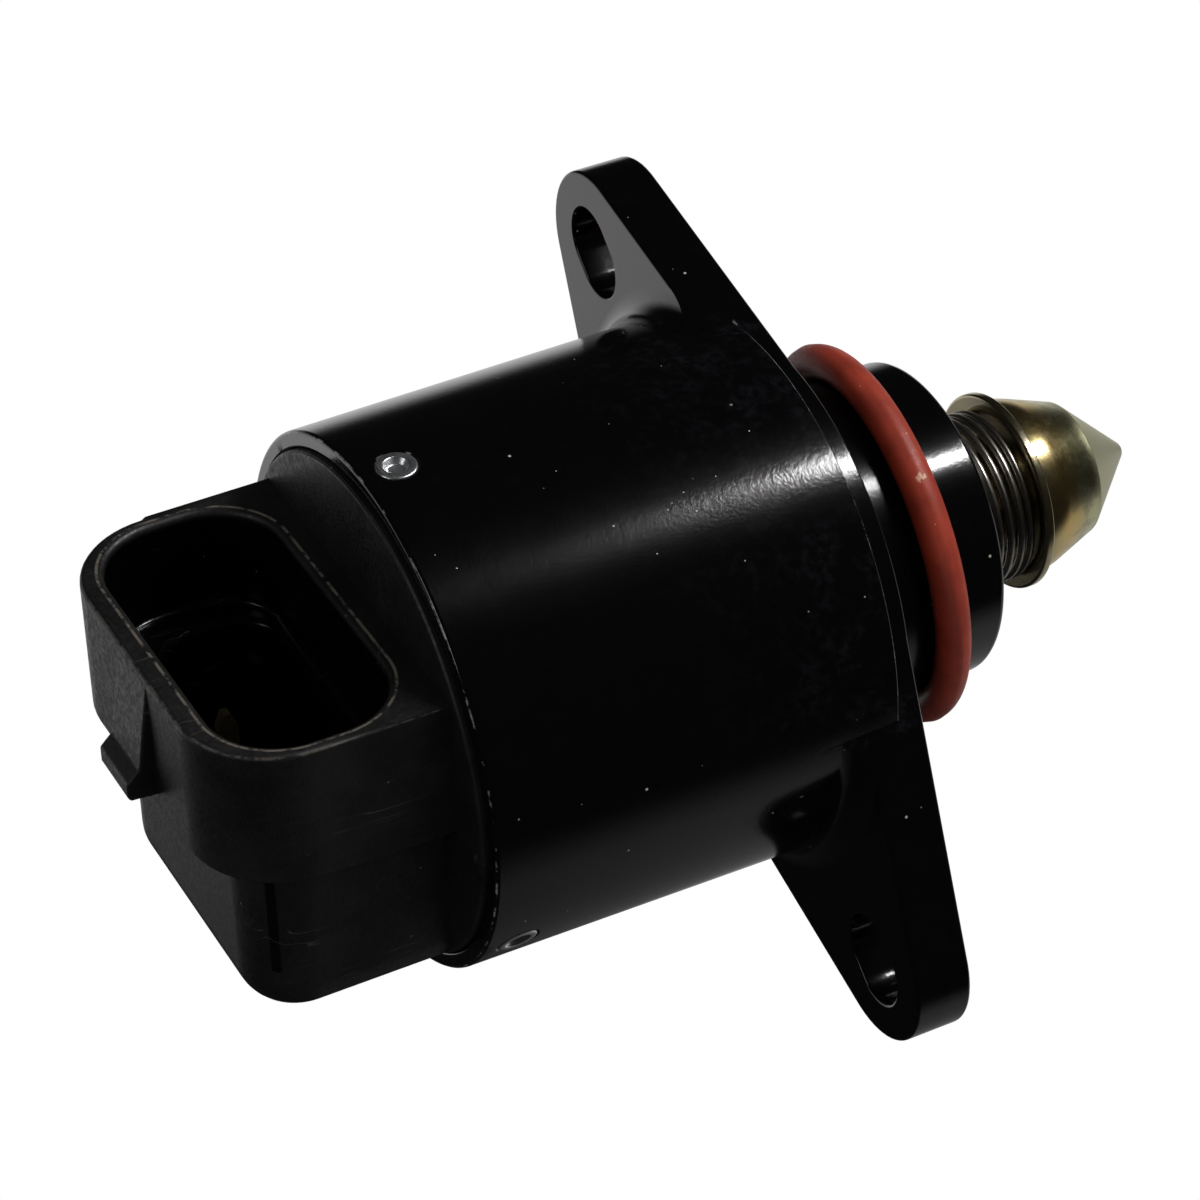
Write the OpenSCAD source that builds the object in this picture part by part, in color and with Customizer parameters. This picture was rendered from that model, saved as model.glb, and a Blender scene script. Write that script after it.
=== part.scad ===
// Idle air control valve, flange mounted, stepper driven
// X runs along the valve axis towards the pintle, Z towards the upper ear
// The origin is on the front (mating) face of the flange, on the valve axis

/* [Housing] */
// growth of the body radius from the rear rim to the flange step
body_taper = 0.2; // [0:0.05:1]
// depth of the turned down step between the ears
step_depth = 1.3; // [0.5:0.05:2]
// width of the turned down step
step_w = 1.7; // [0.5:0.1:3]
// wall around the bore that takes the cap
rim_wall = 1.1; // [0.8:0.05:3]
// step between the bore of the cap and the bore of the stators
bore_ledge = 0.4; // [0.2:0.05:1]
// thickness of the wall between the motor and the spigot
front_wall = 3.2; // [2:0.1:6]
// rounding radius where the body meets the ears
ear_fillet = 2.0; // [0.5:0.1:4]

/* [Flange] */
// flange thickness
flange_t = 4.0; // [2:0.1:8]
// distance between the two slotted holes
hole_spacing = 50; // [40:0.5:80]
// radius of each ear tip
ear_r = 5.6; // [4:0.1:10]
// width of each slotted hole
slot_w = 4.9; // [3:0.1:8]
// end to end length of each slotted hole
slot_l = 6.2; // [4:0.1:12]
// sideways shift of the ears from the valve axis
ear_shift_y = 0.5; // [-3:0.05:3]
// lengthwise shift of the ears from the valve axis
ear_shift_z = -1.35; // [-3:0.05:3]

/* [Spigot] */
// outer radius of the spigot
spigot_r = 10.77; // [7:0.01:16]
// length of the spigot in front of the mating face
spigot_len = 10.75; // [8:0.05:20]
// radius of the bore in the spigot
spigot_bore_r = 7.4; // [5:0.1:12]
// cord radius of the flange seal
seal_cord_r = 1.17; // [0.8:0.01:2]
// distance from the mating face to the middle of the flange seal
seal_x = 6.72; // [3:0.01:9]
// angle by which the flange seal sits askew
seal_tilt = 5.4; // [0:0.1:8]

/* [Connector] */
// depth of the cap in the housing, down to the end plate
cap_seat = 8.2; // [7:0.1:12]
// length of the skirt that presses on the end plate
skirt_len = 1.8; // [1:0.1:3]
// wall of the skirt
skirt_wall = 2.0; // [1:0.1:3]
// angle of the socket mouth from the upper ear
conn_angle = 48.5; // [0:0.5:90]
// height of the cap face above the rear rim
cap_proud = 0.4; // [0:0.1:1]
// reach of the shroud behind the rear rim
shroud_len = 15.46; // [10:0.1:25]
// half width of the shroud
shroud_hw = 13.2; // [8:0.1:16]
// height of the socket mouth above the valve axis
mouth_u = 9.2; // [6:0.1:12]
// height of the underside of the shroud
shroud_low_u = -0.7; // [-3:0.1:2]
// corner radius of the shroud
shroud_corner = 6.2; // [2:0.1:8]
// reach of the lower body behind the rear rim
lower_len = 13.1; // [8:0.1:22]
// half width of the lower body
lower_hw = 11.2; // [6:0.1:14]
// height of the bottom of the lower body
lower_u = -13.8; // [-15:0.1:-8]
// corner radius of the lower body
lower_corner = 3.95; // [3:0.05:6]
// rounding radius of the bottom edge
lower_roll = 2.9; // [1:0.1:3]
// depth of the socket down to its ledge
socket_depth = 7.2; // [4:0.1:12]
// depth of the narrow well below the ledge
well_depth = 11.3; // [4:0.1:12]
// half width of the well along the valve axis
well_r = 3.95; // [2:0.05:5]
// half length of the well
well_hw = 9.7; // [6:0.1:12]
// wall between the socket and the end of the shroud
socket_end_wall = 1.7; // [1:0.1:3]
// wall between the socket and the sides of the shroud
socket_side_wall = 1.05; // [0.8:0.05:3]
// wall between the socket and the cap face
socket_cap_wall = 1.8; // [1:0.1:4]
// width of the latch ramp
latch_w = 4.5; // [2:0.1:8]
// height of the latch ramp above the end of the shroud
latch_h = 1.85; // [1:0.05:3]
// height of the top of the hook above the valve axis
latch_hook_u = 1.7; // [0.8:0.1:5]

/* [Terminals] */
// width of a terminal blade along the valve axis
blade_w = 1.4; // [0.6:0.1:2]
// thickness of a terminal blade
blade_t = 0.8; // [0.4:0.1:1.5]
// distance from one terminal to the next
blade_pitch = 5.0; // [3:0.1:6]
// length of the tapered tip
tip_len = 1.2; // [0.5:0.1:2]
// height of the terminal tips above the valve axis
blade_top_u = -3.4; // [-6:0.1:8]
// distance of the terminal row behind the rear rim
blade_back = 6.9; // [5:0.1:14]

/* [Pintle] */
// position of the rear face of the collar
collar_x = 16.4; // [13:0.1:20]
// radius of the collar
collar_r = 6.8; // [5:0.05:9]
// thickness of the collar
collar_t = 0.65; // [0.4:0.05:2]
// radius of the cone at its base
cone_r = 6.13; // [4:0.05:8]
// radius where the two cones meet
cone_small_r = 4.66; // [2:0.05:6]
// position where the two cones meet
cone_x = 22.1; // [20:0.1:28]
// radius of the rounded nose
nose_r = 0.8; // [0.3:0.1:1.5]
// half angle of the nose cone
nose_angle = 43.5; // [30:0.1:60]
// radius of the pintle shaft
shaft_r = 3.0; // [2.2:0.1:4]
// distance across the two flats of the shaft
shaft_flats = 5.0; // [4:0.1:6]

/* [Spring and screw] */
// wire radius of the spring
wire_r = 0.275; // [0.15:0.005:0.5]
// radius from the valve axis to the middle of the wire
coil_r = 5.65; // [4:0.05:7]
// number of spring turns
turns = 13; // [6:1:16]
// radius of the lead screw over its thread
screw_r = 2.0; // [1.5:0.05:3]
// pitch of the lead screw
screw_pitch = 1.0; // [0.5:0.1:2]

/* [Motor] */
// outer radius of the rotor magnet
magnet_r = 8.0; // [5:0.1:11]
// air gap between the magnet and the pole teeth
air_gap = 0.4; // [0.2:0.05:1]
// sheet thickness of the stator parts
sheet = 0.8; // [0.4:0.05:1.5]
// number of teeth on each pole plate
pole_teeth = 8; // [6:1:12]
// radial thickness of the ring magnet
magnet_wall = 3.0; // [1.5:0.1:4]
// radial thickness of each winding
coil_t = 4.68; // [3:0.02:8]
// height of the bobbin rims above the winding
spool_rim = 0.7; // [0.3:0.1:1.5]
// wall of the bobbins
spool_wall = 0.6; // [0.4:0.1:1]
// thickness of the end plate
plate_t = 1.0; // [0.6:0.1:2]
// length of each half of the stator
stator_half = 8.6; // [6:0.1:14]

/* [Fits] */
// running clearance of turning and sliding parts
run_gap = 0.05; // [0.02:0.01:0.1]
// clearance of parts pressed or set in place
set_gap = 0.02; // [0.01:0.01:0.05]
// clearance of the cap and of the stators in their bores
bore_gap = 0.05; // [0.02:0.01:0.1]
// radius of the three stake pins
stake_r = 1.35; // [0.8:0.05:2]
// depth of the stake pins in the cap
stake_depth = 2.45; // [1:0.05:4]
// height of the stake pins above the body
stake_proud = 0.05; // [0.02:0.01:0.2]
// radius of the dimple in a stake pin
dimple_r = 0.85; // [0.3:0.05:1.2]
// depth of the dimple in a stake pin
dimple_depth = 0.4; // [0.1:0.05:1]
// distance of the stake pins in front of the rear rim
stake_in = 2.5; // [1.6:0.1:4]
// angle of the first stake pin from the upper ear
stake_angle = 50.4; // [0:0.1:90]

/* [Hidden] */
$fn = 96;
e = 0.01;
// radial stack, from the magnet out to the body
hub_r = magnet_r - magnet_wall;
tooth_in_r = magnet_r + air_gap;
tooth_out_r = tooth_in_r + sheet;
spool_r0 = tooth_out_r + 2 * bore_gap;
spool_r1 = spool_r0 + spool_wall;
spool_out_r = spool_r1 + set_gap + coil_t + spool_rim;
cup_r = spool_out_r + 2 * bore_gap + sheet;
main_bore_r = cup_r + 2 * bore_gap;
rim_bore_r = main_bore_r + bore_ledge;
cap_r = rim_bore_r - bore_gap;
body_r_rear = rim_bore_r + rim_wall;
body_r_front = body_r_rear + body_taper;
step_r = body_r_front - step_depth;
// axial stack, from the flange back to the rear rim
stator_x = -front_wall - 0.2;
stator_mid = stator_x - stator_half;
stator_end = stator_mid - stator_half;
plate_x = stator_end - plate_t;
plug_x = plate_x - skirt_len;
bore_step_x = plug_x + 8 * bore_gap;
rim_x = plate_x - cap_seat;
seal_ring_r = (spigot_r + run_gap + seal_cord_r) / cos(seal_tilt);
cap_face_x = rim_x - cap_proud;
shroud_x = rim_x - shroud_len;
lower_x = rim_x - lower_len;
socket_floor_u = mouth_u - socket_depth;
socket_x0 = shroud_x + socket_end_wall;
socket_x1 = cap_face_x - socket_cap_wall;
blade_x = rim_x - blade_back;
well_floor_u = socket_floor_u - well_depth;
blade_low_u = well_floor_u - 1.5;
// front end of the motor
web_x = 2.4;
web_t = 0.8;
web_hole_r = 5.5;
pocket_r = magnet_r;
counter_r = shaft_r + 0.3;
guide_len = 3.0;
guide_x = web_x + guide_len;
spring_len = collar_x - guide_x;
// bearing
race_out_r = pocket_r - set_gap;
race_in_r = counter_r + 0.7;
ball_r = 1.1;
ball_ring_r = (pocket_r + race_in_r) / 2;
balls = 9;
bearing_w = 4.4;
bearing_x = -front_wall + 0.3;
journal_r = race_in_r - set_gap;
// rotor
magnet_x0 = stator_end + 2.0;
magnet_x1 = stator_x - 2.4;
hub_flange = 1.2;
hub_rear_x = stator_end - 1.4;
rear_journal_r = 3.2;
bush_r = 5.1;
bush_x0 = stator_end - 1.7;
bush_x1 = stator_end + 0.6;
nut_x = -6.5;
shaft_rear_x = -1.0;
screw_rear_x = -19.0;
screw_front_x = 6.0;
stake_x = rim_x + stake_in;
seal_groove_x = plug_x - 1.4;
cap_seal_r = 0.68;
groove_depth = 2 * cap_seal_r - 0.01;
skirt_r = cup_r - skirt_wall;

// turns a profile drawn as [radius, position] about the valve axis
module lathe() rotate([0, 90, 0]) rotate_extrude() children();
// a plain rod along the valve axis
module rod(x0, x1, r) translate([x0, 0, 0]) rotate([0, 90, 0]) cylinder(h = x1 - x0, r = r);
// a tube along the valve axis
module tube(x0, x1, r0, r1) difference() {
  rod(x0, x1, r1);
  rod(x0 - 1, x1 + 1, r0);
}
// stands a drawing in the plane across the axis up as a plate from x0 to x1
module across(x0, x1) translate([x0, 0, 0]) rotate([90, 0, 90])
  linear_extrude(height = x1 - x0) children();
// turns the connector so that its mouth points the right way
module conn() rotate([conn_angle, 0, 0]) children();

// outline of the flange, made of arcs and their tangent lines
module ear_outline(big, tip) {
  circle(r = big);
  for (s = [-1, 1]) {
    cy = ear_shift_y;
    cz = ear_shift_z + s * hole_spacing / 2;
    d = sqrt(cy * cy + cz * cz);
    a = atan2(cz, cy);
    b = acos((big - tip) / d);
    translate([cy, cz]) circle(r = tip);
    polygon([
      [0, 0],
      [big * cos(a - b), big * sin(a - b)],
      [cy + tip * cos(a - b), cz + tip * sin(a - b)],
      [cy, cz],
      [cy + tip * cos(a + b), cz + tip * sin(a + b)],
      [big * cos(a + b), big * sin(a + b)]
    ]);
  }
}

module ear_slots(x0, x1) {
  run = (slot_l - slot_w) / 2;
  for (s = [-1, 1]) translate([0, ear_shift_y, ear_shift_z + s * hole_spacing / 2]) {
    for (k = [-1, 1]) translate([0, 0, k * run]) rod(x0, x1, slot_w / 2);
    translate([x0, -slot_w / 2, -run]) cube([x1 - x0, slot_w, 2 * run]);
  }
}

// three radial holes or pins on the stake angle
module stakes(r, from, to) for (k = [0, 1, 2])
  rotate([stake_angle + 120 * k, 0, 0]) translate([stake_x, 0, from])
    cylinder(h = to - from, r = r, $fn = 48);

module housing() color([0.05, 0.05, 0.06]) difference() {
  union() {
    // body and spigot
    lathe() polygon([
      [0, rim_x], [body_r_rear - 0.3, rim_x], [body_r_rear, rim_x + 0.3],
      [body_r_front, -step_w], [step_r, -step_w], [step_r, 0], [spigot_r, 0],
      [spigot_r, spigot_len - 0.2], [spigot_r - 0.2, spigot_len], [0, spigot_len]
    ]);
    // ears
    across(-flange_t, 0) ear_outline(step_r, ear_r);
    // rounding between the body and the ears
    intersection() {
      across(-flange_t - ear_fillet, -flange_t + 0.1) ear_outline(step_r, ear_r);
      lathe() difference() {
        translate([body_r_front - 1, -flange_t - ear_fillet]) square([ear_fillet + 1, ear_fillet + 0.1]);
        translate([body_r_front + ear_fillet, -flange_t - ear_fillet]) circle(r = ear_fillet, $fn = 64);
      }
    }
  }
  ear_slots(-flange_t - ear_fillet - 1, 1);
  // stepped bore
  lathe() polygon([
    [0, rim_x - 1], [rim_bore_r, rim_x - 1], [rim_bore_r, bore_step_x],
    [main_bore_r, bore_step_x], [main_bore_r, -front_wall], [pocket_r, -front_wall],
    [pocket_r, web_x - web_t], [web_hole_r, web_x - web_t], [web_hole_r, web_x],
    [spigot_bore_r, web_x], [spigot_bore_r, spigot_len + 1], [0, spigot_len + 1]
  ]);
  stakes(stake_r + run_gap, cap_r - stake_depth - 1, body_r_front + 1);
}

// plan of the connector, seen from its mouth, with rounded end corners
module conn_plan(x0, x1, hw, r) {
  translate([x0 + r, -hw]) square([x1 - x0 - r, 2 * hw]);
  translate([x0, -hw + r]) square([x1 - x0, 2 * hw - 2 * r]);
  for (s = [-1, 1]) translate([x0 + r, s * (hw - r)]) circle(r = r, $fn = 64);
}

// plan with four rounded corners
module round_plan(x0, x1, hw, r) {
  translate([x0 + r, -hw]) square([x1 - x0 - 2 * r, 2 * hw]);
  translate([x0, -hw + r]) square([x1 - x0, 2 * hw - 2 * r]);
  for (x = [x0 + r, x1 - r]) for (s = [-1, 1]) translate([x, s * (hw - r)]) circle(r = r, $fn = 64);
}

// outline from the middle of a rounded bar out to its side, with a round bottom edge
module bar_side(reach, roll, top) {
  translate([0, lower_u]) square([reach - roll, top - lower_u]);
  translate([0, lower_u + roll]) square([reach, top - lower_u - roll]);
  translate([reach - roll, lower_u + roll]) circle(r = roll, $fn = 64);
}

// the lower half of the connector body: its bottom edge rolls round both rear corners
module lower_body() {
  top = shroud_low_u + 1;
  mid_x = lower_x + lower_corner;
  mid_y = lower_hw - lower_corner;
  for (s = [-1, 1]) translate([mid_x, s * mid_y, 0]) rotate_extrude() intersection() {
    bar_side(lower_corner, lower_roll, top);
    translate([0, lower_u - 1]) square([lower_corner + 1, top - lower_u + 2]);
  }
  across(mid_x, cap_face_x + 0.5) for (s = [-1, 1]) mirror([s < 0 ? 1 : 0, 0])
    bar_side(lower_hw, lower_roll, top);
  translate([mid_x, mid_y, 0]) rotate([90, 0, 0]) linear_extrude(height = 2 * mid_y)
    mirror([1, 0]) bar_side(lower_corner, lower_roll, top);
}

// ramp and hook that hold the plug
module latch() rotate([90, 0, 0]) translate([0, 0, -latch_w / 2]) linear_extrude(height = latch_w)
  polygon([
    [shroud_x + 0.5, mouth_u - 0.4], [shroud_x, mouth_u - 0.4],
    [shroud_x - latch_h * 0.5, latch_hook_u + 0.9], [shroud_x - latch_h, latch_hook_u],
    [shroud_x - latch_h, shroud_low_u + 1.2], [shroud_x + 0.5, shroud_low_u + 1.0]
  ]);

// one terminal: a leg through the cap and a blade standing in the socket
module blade(y, gap, tip) translate([0, y, 0]) {
  w = blade_w / 2 + gap;
  t = blade_t / 2 + gap;
  rotate([90, 0, 0]) translate([0, 0, -t]) linear_extrude(height = 2 * t) polygon([
    [plug_x + 1, blade_low_u - t], [plug_x + 1, blade_low_u + t], [blade_x + w, blade_low_u + t],
    [blade_x + w, tip - tip_len], [blade_x + w * 0.35, tip], [blade_x - w * 0.35, tip],
    [blade_x - w, tip - tip_len], [blade_x - w, blade_low_u - t]
  ]);
}

function blade_y(i) = (i - 2.5) * blade_pitch;

module connector_cap() color([0.09, 0.09, 0.095]) difference() {
  union() {
    // plug that closes the housing, with its skirt against the end plate
    lathe() polygon([
      [0, cap_face_x], [cap_r - 0.4, cap_face_x], [cap_r, cap_face_x + 0.4],
      [cap_r, seal_groove_x - 0.8], [cap_r - groove_depth, seal_groove_x - 0.8],
      [cap_r - groove_depth, seal_groove_x + 0.8], [cap_r, seal_groove_x + 0.8],
      [cap_r, plug_x], [cup_r, plug_x], [cup_r, plate_x], [skirt_r, plate_x], [skirt_r, plug_x],
      [0, plug_x]
    ]);
    conn() {
      translate([0, 0, shroud_low_u]) linear_extrude(height = mouth_u - shroud_low_u)
        conn_plan(shroud_x, cap_face_x + 0.5, shroud_hw, shroud_corner);
      lower_body();
      latch();
    }
  }
  conn() {
    // socket
    translate([0, 0, socket_floor_u]) linear_extrude(height = socket_depth + 1)
      round_plan(socket_x0, socket_x1, shroud_hw - socket_side_wall, shroud_corner - socket_side_wall - 0.4);
    translate([0, 0, well_floor_u]) linear_extrude(height = well_depth + 1)
      round_plan(blade_x - well_r, blade_x + well_r, well_hw, well_r - 0.4);
    // slots that hold the terminals
    for (i = [1:4]) blade(blade_y(i), set_gap, mouth_u);
  }
  // room for the ends of the terminals and of the lead screw
  rod(plug_x - 1.0, plug_x + 1, skirt_r - 0.3);
  rod(plug_x - 2.2, plug_x, screw_r + 0.8);
  stakes(stake_r + run_gap, cap_r - stake_depth - 0.2, cap_r + 1);
}

module terminal(i) color([0.72, 0.6, 0.36]) conn() blade(blade_y(i), 0, blade_top_u);
module terminal_1() terminal(1);
module terminal_2() terminal(2);
module terminal_3() terminal(3);
module terminal_4() terminal(4);

module stake_pins() color([0.75, 0.76, 0.78]) difference() {
  stakes(stake_r, cap_r - stake_depth, body_r_rear + stake_proud);
  stakes(dimple_r, body_r_rear + stake_proud - dimple_depth, body_r_rear + 1);
}

module cap_seal() color([0.04, 0.04, 0.04]) lathe()
  translate([cap_r - groove_depth + set_gap + cap_seal_r, seal_groove_x]) circle(r = cap_seal_r, $fn = 32);

module flange_seal() color([0.52, 0.16, 0.1]) translate([seal_x, 0, 0]) rotate([0, 0, -seal_tilt])
  lathe() translate([seal_ring_r, 0]) circle(r = seal_cord_r, $fn = 48);

// nose outline: the cone meets a round nose on its tangent point
nose_tip_x = cone_x + cone_small_r / tan(nose_angle);
nose_c_x = nose_tip_x - nose_r / sin(nose_angle);

module pintle() color([0.62, 0.58, 0.44]) difference() {
  union() {
    lathe() {
      polygon([
        [0, collar_x - 1], [shaft_r + 1, collar_x - 1], [shaft_r + 1, collar_x], [collar_r - 0.15, collar_x],
        [collar_r, collar_x + 0.15], [collar_r, collar_x + collar_t - 0.1],
        [collar_r - 0.1, collar_x + collar_t], [cone_r - 0.12, collar_x + collar_t],
        [cone_r - 0.12, collar_x + collar_t + 0.5], [cone_r, collar_x + collar_t + 0.55],
        [cone_small_r, cone_x], [nose_r * cos(nose_angle), nose_c_x + nose_r * sin(nose_angle)],
        [0, nose_c_x + nose_r * sin(nose_angle)]
      ]);
      intersection() {
        translate([0, nose_c_x]) circle(r = nose_r, $fn = 64);
        translate([0, nose_c_x + nose_r * sin(nose_angle) - e]) square([nose_r, nose_r]);
      }
    }
    // shaft with two flats that keep it from turning
    intersection() {
      rod(shaft_rear_x, collar_x, shaft_r);
      translate([shaft_rear_x - 1, -shaft_flats / 2, -shaft_r - 1])
        cube([collar_x - shaft_rear_x + 2, shaft_flats, 2 * shaft_r + 2]);
    }
  }
  rod(shaft_rear_x - 1, screw_front_x, screw_r + set_gap);
}

// lead screw: the thread is a grid of points whose radius follows the helix
module thread(x0, x1, r_in, r_out, pitch) {
  around = 14;
  per_turn = 5;
  steps = round((x1 - x0) / pitch * per_turn);
  function swell(a, x) = let (p = (x / pitch - a / 360) - floor(x / pitch - a / 360))
    r_in + (r_out - r_in) * max(0, min(1, 1.5 - abs(p - 0.5) * 4 + 0.1));
  pts = concat(
    [[x0, 0, 0]],
    [for (i = [0:steps]) for (j = [0:around - 1])
      let (x = x0 + (x1 - x0) * i / steps, a = j * 360 / around, r = i == 0 || i == steps ? r_in : swell(a, x))
      [x, r * cos(a), r * sin(a)]],
    [[x1, 0, 0]]
  );
  last = len(pts) - 1;
  function at(i, j) = 1 + i * around + j % around;
  polyhedron(points = pts, faces = concat(
    [for (j = [0:around - 1]) [0, at(0, j), at(0, j + 1)]],
    [for (i = [0:steps - 1]) for (j = [0:around - 1]) [at(i, j), at(i + 1, j), at(i + 1, j + 1)]],
    [for (i = [0:steps - 1]) for (j = [0:around - 1]) [at(i, j), at(i + 1, j + 1), at(i, j + 1)]],
    [for (j = [0:around - 1]) [last, at(steps, j + 1), at(steps, j)]]
  ));
}

module lead_screw() color([0.55, 0.55, 0.57]) union() {
  thread(screw_rear_x, shaft_rear_x - 0.5, screw_r - 0.35, screw_r, screw_pitch);
  translate([shaft_rear_x - 0.6, 0, 0]) rotate([0, 90, 0])
    cylinder(h = screw_front_x - 0.3 - shaft_rear_x + 0.6, r = screw_r, $fn = 32);
}

// spring wire swept along a helix with a closed turn at each end
module spring_wire(x0, x1) {
  per_turn = 18;
  sides = 6;
  n = turns * per_turn;
  rise = x1 - x0 - 2 * wire_r - 4 * e;
  closed = 2 * wire_r + 0.03;
  open = (rise - 2 * closed) / (turns - 2);
  function lift(t) = t < 1 ? closed * t : t > turns - 1 ? rise - closed * (turns - t)
    : closed + open * (t - 1);
  pts = [for (i = [0:n]) let (t = i / per_turn, a = 360 * t, x = x0 + wire_r + 2 * e + lift(t))
    for (k = [0:sides - 1]) let (b = 360 * k / sides, r = coil_r + wire_r * cos(b))
      [x + wire_r * sin(b), r * cos(a), r * sin(a)]];
  function at(i, k) = i * sides + k % sides;
  polyhedron(points = pts, faces = concat(
    [for (k = [1:sides - 2]) [at(0, 0), at(0, k), at(0, k + 1)]],
    [for (i = [0:n - 1]) for (k = [0:sides - 1]) [at(i, k), at(i + 1, k), at(i + 1, k + 1)]],
    [for (i = [0:n - 1]) for (k = [0:sides - 1]) [at(i, k), at(i + 1, k + 1), at(i, k + 1)]],
    [for (k = [1:sides - 2]) [at(n, 0), at(n, k + 1), at(n, k)]]
  ));
}

module pintle_spring() color([0.5, 0.5, 0.48]) spring_wire(guide_x, collar_x);

// guide whose flats match the pintle shaft
module guide_bush() color([0.85, 0.83, 0.76]) difference() {
  rod(web_x, guide_x, spigot_bore_r - set_gap);
  intersection() {
    rod(web_x - 1, guide_x + 1, shaft_r + run_gap);
    translate([web_x - 2, -shaft_flats / 2 - run_gap, -shaft_r - 1])
      cube([guide_len + 4, shaft_flats + 2 * run_gap, 2 * shaft_r + 2]);
  }
}

// ring of the ball bearing with its running groove
module race(r0, r1) color([0.7, 0.71, 0.73]) lathe() difference() {
  translate([r0, bearing_x]) square([r1 - r0, bearing_w]);
  translate([ball_ring_r, bearing_x + bearing_w / 2]) circle(r = ball_r + run_gap, $fn = 48);
}
module bearing_outer_ring() race(ball_ring_r + 0.6, race_out_r);
module bearing_inner_ring() race(race_in_r, ball_ring_r - 0.6);

module bearing_balls() color([0.8, 0.8, 0.82]) for (k = [0:balls - 1])
  rotate([k * 360 / balls, 0, 0]) translate([bearing_x + bearing_w / 2, 0, ball_ring_r])
    rotate_extrude($fn = 32) intersection() {
      circle(r = ball_r, $fn = 32);
      translate([0, -ball_r]) square([ball_r, 2 * ball_r]);
    }

module ball_cage() color([0.74, 0.6, 0.34]) difference() {
  tube(bearing_x + 0.5, bearing_x + bearing_w - 0.5, ball_ring_r - 0.3, ball_ring_r + 0.3);
  for (k = [0:balls - 1]) rotate([k * 360 / balls, 0, 0])
    translate([bearing_x + bearing_w / 2, 0, ball_ring_r - 2])
      cylinder(h = 4, r = ball_r + run_gap, $fn = 32);
}

module rotor_hub() color([0.82, 0.8, 0.74]) lathe() polygon([
  [screw_r + run_gap, hub_rear_x], [rear_journal_r, hub_rear_x], [rear_journal_r, magnet_x0 - 0.8],
  [hub_r + hub_flange, magnet_x0 - 0.8], [hub_r + hub_flange, magnet_x0], [hub_r, magnet_x0],
  [hub_r, bearing_x - 0.2], [journal_r, bearing_x - 0.2], [journal_r, bearing_x + bearing_w],
  [counter_r, bearing_x + bearing_w], [counter_r, nut_x], [screw_r + run_gap, nut_x - 0.8]
]);

module rotor_magnet() color([0.16, 0.16, 0.17]) lathe() polygon([
  [hub_r + set_gap, magnet_x0], [magnet_r - 0.3, magnet_x0], [magnet_r, magnet_x0 + 0.3],
  [magnet_r, magnet_x1 - 0.3], [magnet_r - 0.3, magnet_x1], [hub_r + set_gap, magnet_x1]
]);

module rear_bush() color([0.66, 0.5, 0.3])
  tube(bush_x0, bush_x1, rear_journal_r + run_gap, bush_r);
module thrust_washer() color([0.7, 0.71, 0.73])
  tube(bush_x1, bush_x1 + 0.3, rear_journal_r + 0.1, bush_r);
module end_plate() color([0.6, 0.61, 0.63])
  tube(plate_x, stator_end, bush_r + set_gap, cup_r);

// teeth of one pole plate: trapezoids cut from a thin tube
module teeth(x0, x1, turn) intersection() {
  tube(min(x0, x1), max(x0, x1), tooth_in_r, tooth_out_r);
  wide = 360 / pole_teeth * 0.37;
  for (k = [0:pole_teeth - 1]) rotate([turn + k * 360 / pole_teeth, 0, 0])
    linear_extrude(height = tooth_out_r + 2) polygon([
      [x0, -tooth_out_r * tan(wide / 2)], [x1, -tooth_out_r * tan(wide / 2) * 0.55],
      [x1, tooth_out_r * tan(wide / 2) * 0.55], [x0, tooth_out_r * tan(wide / 2)]
    ]);
}

// outer pole cup: dir is 1 for the front half and -1 for the rear half
module pole_cup(face, dir) color([0.66, 0.67, 0.69]) union() {
  tube(min(face, face - dir * sheet), max(face, face - dir * sheet), tooth_in_r, cup_r);
  tube(min(face, face - dir * stator_half), max(face, face - dir * stator_half), cup_r - sheet, cup_r);
  teeth(face - dir * (sheet - 0.1), face - dir * (stator_half - 1.6), 0);
}
module inner_plate(face, dir) color([0.66, 0.67, 0.69]) union() {
  tube(min(face, face + dir * sheet), max(face, face + dir * sheet), tooth_in_r, cup_r - sheet - set_gap);
  teeth(face + dir * (sheet - 0.1), face + dir * (stator_half - 1.6), 180 / pole_teeth);
}
module front_pole_cup() pole_cup(stator_x, 1);
module front_pole_plate() inner_plate(stator_mid, 1);
module rear_pole_plate() inner_plate(stator_mid, -1);
module rear_pole_cup() pole_cup(stator_end, -1);

module bobbin(x0, x1) color([0.86, 0.84, 0.78]) lathe() polygon([
  [spool_r0, x0], [spool_out_r, x0], [spool_out_r, x0 + spool_wall], [spool_r1, x0 + spool_wall],
  [spool_r1, x1 - spool_wall], [spool_out_r, x1 - spool_wall], [spool_out_r, x1], [spool_r0, x1]
]);
module winding(x0, x1) color([0.6, 0.3, 0.14])
  tube(x0 + spool_wall, x1 - spool_wall, spool_r1 + set_gap, spool_out_r - spool_rim);
module front_bobbin() bobbin(stator_mid + sheet, stator_x - sheet);
module front_coil() winding(stator_mid + sheet, stator_x - sheet);
module rear_bobbin() bobbin(stator_end + sheet, stator_mid - sheet);
module rear_coil() winding(stator_end + sheet, stator_mid - sheet);

housing();
connector_cap();
terminal_1();
terminal_2();
terminal_3();
terminal_4();
stake_pins();
cap_seal();
flange_seal();
pintle();
lead_screw();
pintle_spring();
guide_bush();
bearing_outer_ring();
bearing_inner_ring();
bearing_balls();
ball_cage();
rotor_hub();
rotor_magnet();
rear_bush();
thrust_washer();
end_plate();
front_pole_cup();
front_pole_plate();
rear_pole_plate();
rear_pole_cup();
front_bobbin();
front_coil();
rear_bobbin();
rear_coil();
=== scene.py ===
import bpy
import bmesh
import math
from mathutils import Euler, Matrix, Vector


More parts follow.
